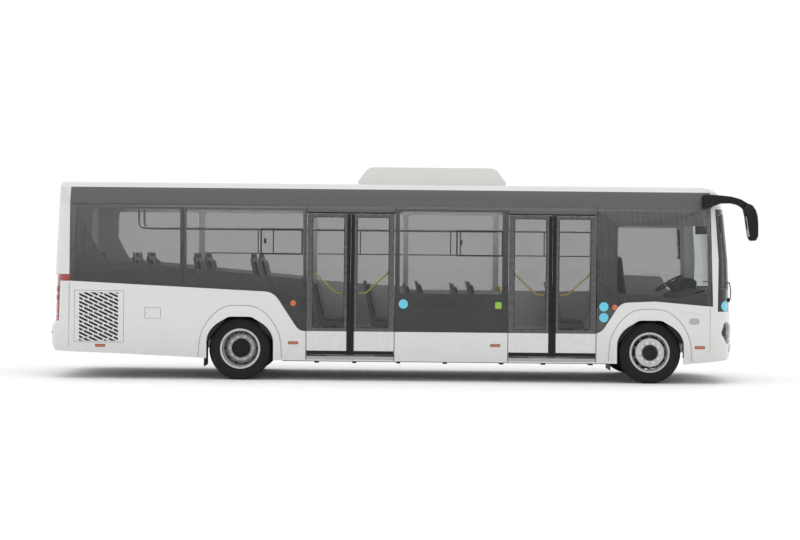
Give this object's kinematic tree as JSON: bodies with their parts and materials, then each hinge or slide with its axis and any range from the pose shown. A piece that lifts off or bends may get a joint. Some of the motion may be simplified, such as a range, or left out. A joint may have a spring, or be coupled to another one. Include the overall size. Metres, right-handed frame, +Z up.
{
  "type": "city bus",
  "caption": "Low-floor city bus with twin gliding-leaf doorways, dark bonded side glass, roof cooling unit, raised rear deck, steered front wheels and twin rear wheels.",
  "frame": {"origin": "on the road under the middle of the overall box", "axes": "+X forward, +Y to the left side, +Z up; the doorways are on the right side"},
  "size_m": [10.282, 2.94, 3.135],
  "materials": {
    "white_body": "white gloss coach paint",
    "dark_band": "dark grey gloss paint",
    "tinted_glass": "tinted bonded glass with a black border",
    "frame_black": "satin black paint",
    "black_plastic": "moulded black plastic",
    "tyre_rubber": "black tyre rubber",
    "wheel_silver": "silver wheel paint",
    "chassis_paint": "black chassis paint",
    "bare_steel": "machined steel",
    "floor_vinyl": "grey speckled floor vinyl",
    "lamp_clear": "clear lamp cover",
    "lamp_red": "red lamp cover",
    "seat_shell": "grey moulded seat shell",
    "yellow_rail": "yellow powder coat",
    "cast_block": "cast metal",
    "dash_plastic": "dark grained dashboard plastic"
  },
  "bodies": {
    "root": {"right_side_panel": "white_body", "right_window_frame": "frame_black", "right_glass": "tinted_glass", "left_side_panel": "white_body", "left_window_frame": "frame_black", "left_glass": "tinted_glass", "roof_shell": "white_body", "windscreen": "tinted_glass", "front_panel": "white_body", "front_lamps": "lamp_clear", "rear_window": "tinted_glass", "rear_bumper": "white_body", "rear_panel": "white_body", "rear_lamps": "lamp_red", "underframe": "chassis_paint", "engine_block": "cast_block", "front_axle": "chassis_paint", "rear_axle": "chassis_paint", "floor_platform": "floor_vinyl", "door_gear": "frame_black", "roof_unit": "white_body", "right_mirror": "black_plastic", "left_mirror": "black_plastic", "seats": "seat_shell", "grab_rails": "yellow_rail", "driver_cab": "dash_plastic", "mudflaps": "black_plastic"},
    "rear_hatch": {"rear_hatch": "white_body"},
    "engine_side_door": {"engine_side_door": "white_body"},
    "fuel_flap": {"fuel_flap": "white_body"},
    "knuckle_right": {"knuckle_right": "bare_steel"},
    "front_right_wheel": {"front_right_tyre": "tyre_rubber", "front_right_rim": "wheel_silver"},
    "rear_right_wheels": {"rear_right_tyres": "tyre_rubber", "rear_right_rims": "wheel_silver"},
    "knuckle_left": {"knuckle_left": "bare_steel"},
    "front_left_wheel": {"front_left_tyre": "tyre_rubber", "front_left_rim": "wheel_silver"},
    "rear_left_wheels": {"rear_left_tyres": "tyre_rubber", "rear_left_rims": "wheel_silver"},
    "tie_rod": {"tie_rod": "bare_steel"},
    "steering_wheel": {"steering_wheel": "dash_plastic"},
    "rear_door_back_arm": {"rear_door_back_arm": "frame_black"},
    "rear_door_back_leaf": {"rear_door_back_leaf": "dark_band", "rear_door_back_pane": "tinted_glass"},
    "rear_door_front_arm": {"rear_door_front_arm": "frame_black"},
    "rear_door_front_leaf": {"rear_door_front_leaf": "dark_band", "rear_door_front_pane": "tinted_glass"},
    "front_door_back_arm": {"front_door_back_arm": "frame_black"},
    "front_door_back_leaf": {"front_door_back_leaf": "dark_band", "front_door_back_pane": "tinted_glass"},
    "front_door_front_arm": {"front_door_front_arm": "frame_black"},
    "front_door_front_leaf": {"front_door_front_leaf": "dark_band", "front_door_front_pane": "tinted_glass"}
  },
  "joints": [
    {"name": "rear_hatch_hinge", "type": "hinge", "parent": "root", "child": "rear_hatch", "pos_m": [-5.074, 0, 1.477], "axis": [0, 1, 0], "range_deg": [0, 75]},
    {"name": "engine_side_door_hinge", "type": "hinge", "parent": "root", "child": "engine_side_door", "pos_m": [-4.027, -1.243, 0.906], "axis": [0, 0, 1], "range_deg": [0, 100]},
    {"name": "fuel_flap_hinge", "type": "hinge", "parent": "root", "child": "fuel_flap", "pos_m": [-3.489, -1.246, 0.9615], "axis": [0, 0, 1], "range_deg": [0, 105]},
    {"name": "steer_right", "type": "hinge", "parent": "root", "child": "knuckle_right", "pos_m": [3.623, -0.905, 0.452], "axis": [0, 0, 1], "range_deg": [-38, 38]},
    {"name": "spin_front_right", "type": "hinge", "parent": "knuckle_right", "child": "front_right_wheel", "pos_m": [3.623, -1.075, 0.452], "axis": [0, 1, 0], "continuous": true},
    {"name": "spin_rear_right", "type": "hinge", "parent": "root", "child": "rear_right_wheels", "pos_m": [-2.33, -0.94, 0.452], "axis": [0, 1, 0], "continuous": true},
    {"name": "steer_left", "type": "hinge", "parent": "root", "child": "knuckle_left", "pos_m": [3.623, 0.905, 0.452], "axis": [0, 0, 1], "range_deg": [-38, 38]},
    {"name": "spin_front_left", "type": "hinge", "parent": "knuckle_left", "child": "front_left_wheel", "pos_m": [3.623, 1.075, 0.452], "axis": [0, 1, 0], "continuous": true},
    {"name": "spin_rear_left", "type": "hinge", "parent": "root", "child": "rear_left_wheels", "pos_m": [-2.33, 0.94, 0.452], "axis": [0, 1, 0], "continuous": true},
    {"name": "tie_rod_pivot", "type": "hinge", "parent": "knuckle_right", "child": "tie_rod", "pos_m": [3.403, -0.905, 0.315], "axis": [0, 0, 1], "range_deg": [-38, 38]},
    {"name": "steering_wheel_turn", "type": "hinge", "parent": "root", "child": "steering_wheel", "pos_m": [4.18, 0.64, 1.436], "axis": [-0.515, 0, 0.8572], "range_deg": [-684, 684]},
    {"name": "rear_door_back_arm_turn", "type": "hinge", "parent": "root", "child": "rear_door_back_arm", "pos_m": [-1.402, -1.158, 1.4], "axis": [0, 0, 1], "range_deg": [0, 92.07]},
    {"name": "rear_door_back_leaf_turn", "type": "hinge", "parent": "rear_door_back_arm", "child": "rear_door_back_leaf", "pos_m": [-1.09867, -1.228, 1.4], "axis": [0, 0, 1], "range_deg": [-182.08, 0]},
    {"name": "rear_door_front_arm_turn", "type": "hinge", "parent": "root", "child": "rear_door_front_arm", "pos_m": [-0.062, -1.158, 1.4], "axis": [0, 0, 1], "range_deg": [-92.07, 0]},
    {"name": "rear_door_front_leaf_turn", "type": "hinge", "parent": "rear_door_front_arm", "child": "rear_door_front_leaf", "pos_m": [-0.36534, -1.228, 1.4], "axis": [0, 0, 1], "range_deg": [0, 182.08]},
    {"name": "front_door_back_arm_turn", "type": "hinge", "parent": "root", "child": "front_door_back_arm", "pos_m": [1.526, -1.158, 1.4], "axis": [0, 0, 1], "range_deg": [0, 92.07]},
    {"name": "front_door_back_leaf_turn", "type": "hinge", "parent": "front_door_back_arm", "child": "front_door_back_leaf", "pos_m": [1.82933, -1.228, 1.4], "axis": [0, 0, 1], "range_deg": [-182.08, 0]},
    {"name": "front_door_front_arm_turn", "type": "hinge", "parent": "root", "child": "front_door_front_arm", "pos_m": [2.866, -1.158, 1.4], "axis": [0, 0, 1], "range_deg": [-92.07, 0]},
    {"name": "front_door_front_leaf_turn", "type": "hinge", "parent": "front_door_front_arm", "child": "front_door_front_leaf", "pos_m": [2.56266, -1.228, 1.4], "axis": [0, 0, 1], "range_deg": [0, 182.08]}
  ],
  "couplings": [
    {"joint": "steer_left", "follows": "steer_right", "ratio": 1},
    {"joint": "tie_rod_pivot", "follows": "steer_right", "ratio": -1},
    {"joint": "steering_wheel_turn", "follows": "steer_right", "ratio": 18},
    {"joint": "rear_door_back_leaf_turn", "follows": "rear_door_back_arm_turn", "ratio": -1.9775},
    {"joint": "rear_door_front_arm_turn", "follows": "rear_door_back_arm_turn", "ratio": -1},
    {"joint": "rear_door_front_leaf_turn", "follows": "rear_door_back_arm_turn", "ratio": 1.9775},
    {"joint": "front_door_back_leaf_turn", "follows": "front_door_back_arm_turn", "ratio": -1.9775},
    {"joint": "front_door_front_arm_turn", "follows": "front_door_back_arm_turn", "ratio": -1},
    {"joint": "front_door_front_leaf_turn", "follows": "front_door_back_arm_turn", "ratio": 1.9775}
  ]
}
